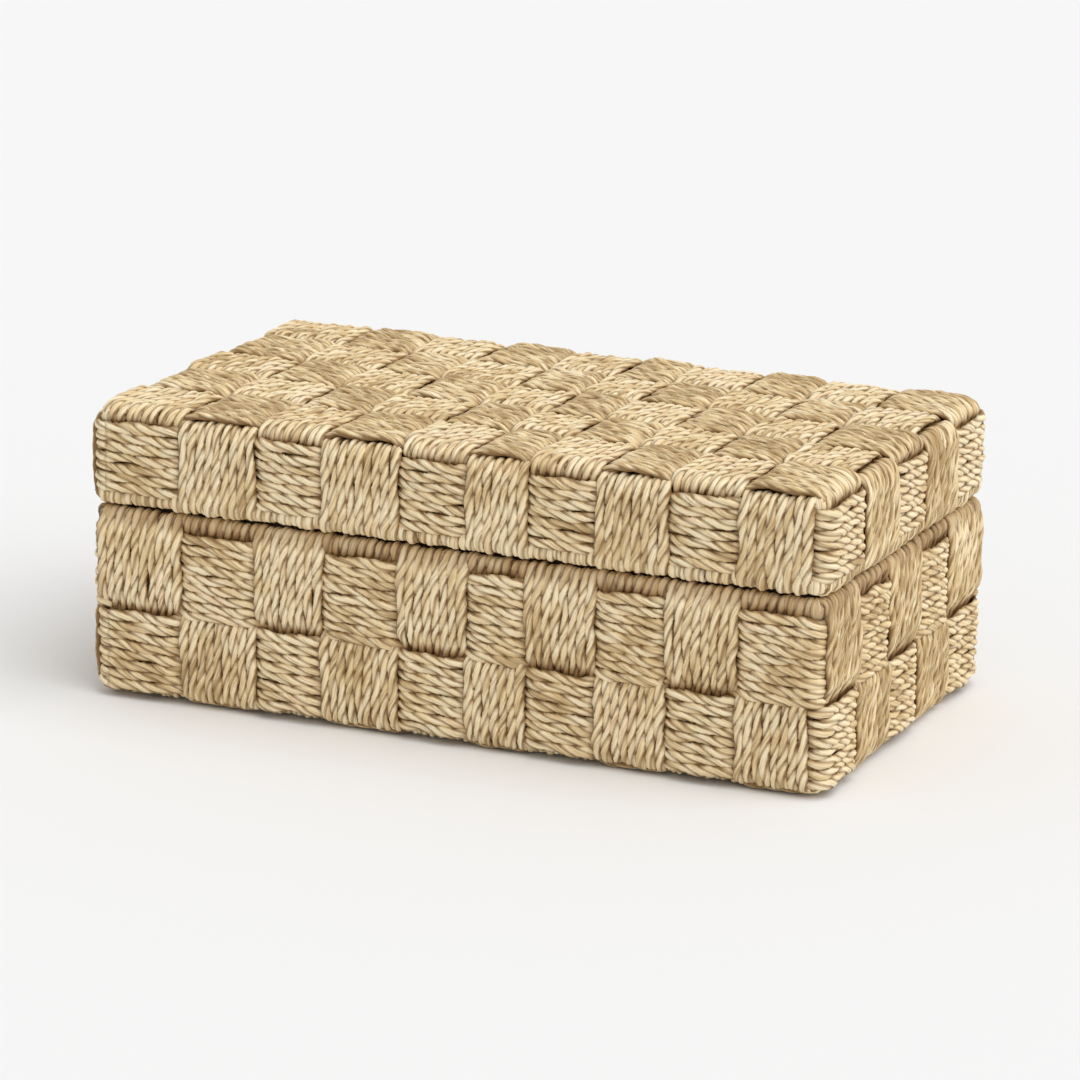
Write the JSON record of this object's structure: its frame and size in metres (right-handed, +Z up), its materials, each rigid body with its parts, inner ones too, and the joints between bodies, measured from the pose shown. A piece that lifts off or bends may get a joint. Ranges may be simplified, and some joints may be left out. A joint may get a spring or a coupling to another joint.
{
  "type": "woven lidded box",
  "caption": "Rectangular keepsake box woven from flat bands of twisted grass cord, with a deep base and a shallow lift-off lid that an inner collar keeps in place.",
  "frame": {"origin": "centre of the underside of the base, on the surface it stands on", "axes": "+X to the right along the long side, +Y from front to back, +Z up"},
  "size_m": [0.3302, 0.185, 0.1254],
  "materials": {
    "grass_cord": "pale straw-coloured two-ply twisted grass cord, dry and matt, with darker gaps between the cords",
    "wire": "dull lacquered steel wire",
    "collar_wood": "plain bent wood, sanded"
  },
  "bodies": {
    "base": {"base_column_band_01": "grass_cord", "base_column_band_02": "grass_cord", "base_column_band_03": "grass_cord", "base_column_band_04": "grass_cord", "base_column_band_05": "grass_cord", "base_column_band_06": "grass_cord", "base_column_band_07": "grass_cord", "base_column_band_08": "grass_cord", "base_column_band_09": "grass_cord", "base_column_band_10": "grass_cord", "base_row_band_1": "grass_cord", "base_row_band_2": "grass_cord", "base_row_band_3": "grass_cord", "base_row_band_4": "grass_cord", "base_row_band_5": "grass_cord", "base_lower_ring_band": "grass_cord", "base_upper_ring_band": "grass_cord", "base_rim_corner_wrap_front_left": "grass_cord", "base_rim_corner_wrap_front_right": "grass_cord", "base_rim_corner_wrap_back_left": "grass_cord", "base_rim_corner_wrap_back_right": "grass_cord", "base_face_corner_wrap_front_left": "grass_cord", "base_face_corner_wrap_front_right": "grass_cord", "base_face_corner_wrap_back_left": "grass_cord", "base_face_corner_wrap_back_right": "grass_cord", "base_rim_hoop": "wire", "base_edge_hoop": "wire", "base_locating_collar": "collar_wood"},
    "lid": {"lid_column_band_01": "grass_cord", "lid_column_band_02": "grass_cord", "lid_column_band_03": "grass_cord", "lid_column_band_04": "grass_cord", "lid_column_band_05": "grass_cord", "lid_column_band_06": "grass_cord", "lid_column_band_07": "grass_cord", "lid_column_band_08": "grass_cord", "lid_column_band_09": "grass_cord", "lid_column_band_10": "grass_cord", "lid_row_band_1": "grass_cord", "lid_row_band_2": "grass_cord", "lid_row_band_3": "grass_cord", "lid_row_band_4": "grass_cord", "lid_row_band_5": "grass_cord", "lid_ring_band": "grass_cord", "lid_rim_corner_wrap_front_left": "grass_cord", "lid_rim_corner_wrap_front_right": "grass_cord", "lid_rim_corner_wrap_back_left": "grass_cord", "lid_rim_corner_wrap_back_right": "grass_cord", "lid_face_corner_wrap_front_left": "grass_cord", "lid_face_corner_wrap_front_right": "grass_cord", "lid_face_corner_wrap_back_left": "grass_cord", "lid_face_corner_wrap_back_right": "grass_cord", "lid_rim_hoop": "wire", "lid_edge_hoop": "wire"}
  },
  "joints": [
    {"name": "lid_lift", "type": "slide", "parent": "base", "child": "lid", "axis": [0, 0, 1], "range_m": [0, 0.1]}
  ]
}
